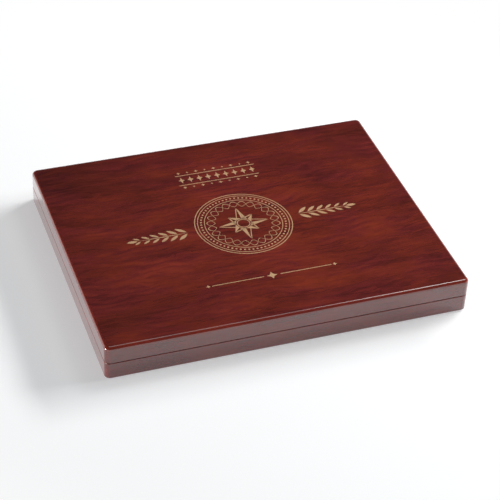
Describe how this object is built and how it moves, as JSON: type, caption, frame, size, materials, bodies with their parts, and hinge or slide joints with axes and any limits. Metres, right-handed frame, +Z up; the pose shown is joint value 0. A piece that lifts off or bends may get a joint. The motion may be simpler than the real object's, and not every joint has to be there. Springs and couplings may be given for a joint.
{
  "type": "coin display case",
  "caption": "Flat hinged presentation case of lacquered board with round recesses for coin capsules in a velour tray, a satin-padded lid, stop hinges and hidden magnets.",
  "frame": {"origin": "middle of the underside, on the surface that the case stands on, under the centre of the wooden body", "axes": "+X along the long side, to the right seen from the front; +Y from the front edge, where the lid is lifted, to the hinges; +Z up"},
  "size_m": [0.305, 0.2488, 0.031],
  "materials": {
    "lacquered_board": "mahogany grain foil on fibreboard under high-gloss lacquer",
    "velour": "dark blue short-pile velour",
    "satin": "cream satin over foam",
    "card": "grey-buff mounting card",
    "felt": "black felt",
    "brass": "polished brass plate",
    "screw_brass": "brass-plated countersunk screws",
    "gold_foil": "hot-stamped gold foil ornament on the lid",
    "magnet_nickel": "nickel-plated magnets"
  },
  "bodies": {
    "base": {"base_front_rail": "lacquered_board", "base_rear_rail": "lacquered_board", "base_left_rail": "lacquered_board", "base_right_rail": "lacquered_board", "base_bottom_panel": "lacquered_board", "base_felt": "felt", "coin_tray_board": "velour", "coin_tray_backing": "velour", "left_hinge_base_leaf": "brass", "left_hinge_pin": "brass", "right_hinge_base_leaf": "brass", "right_hinge_pin": "brass", "hinge_base_screws": "screw_brass", "base_magnets": "magnet_nickel"},
    "lid": {"lid_front_rail": "lacquered_board", "lid_rear_rail": "lacquered_board", "lid_left_rail": "lacquered_board", "lid_right_rail": "lacquered_board", "lid_top_panel": "lacquered_board", "lid_pad_board": "card", "lid_satin_pad": "satin", "left_hinge_lid_leaf": "brass", "right_hinge_lid_leaf": "brass", "hinge_lid_screws": "screw_brass", "lid_magnets": "magnet_nickel"}
  },
  "joints": [
    {"name": "lid_hinge", "type": "hinge", "parent": "base", "child": "lid", "pos_m": [0, 0.1231, 0.0156], "axis": [-1, 0, 0], "range_deg": [0, 95]}
  ]
}
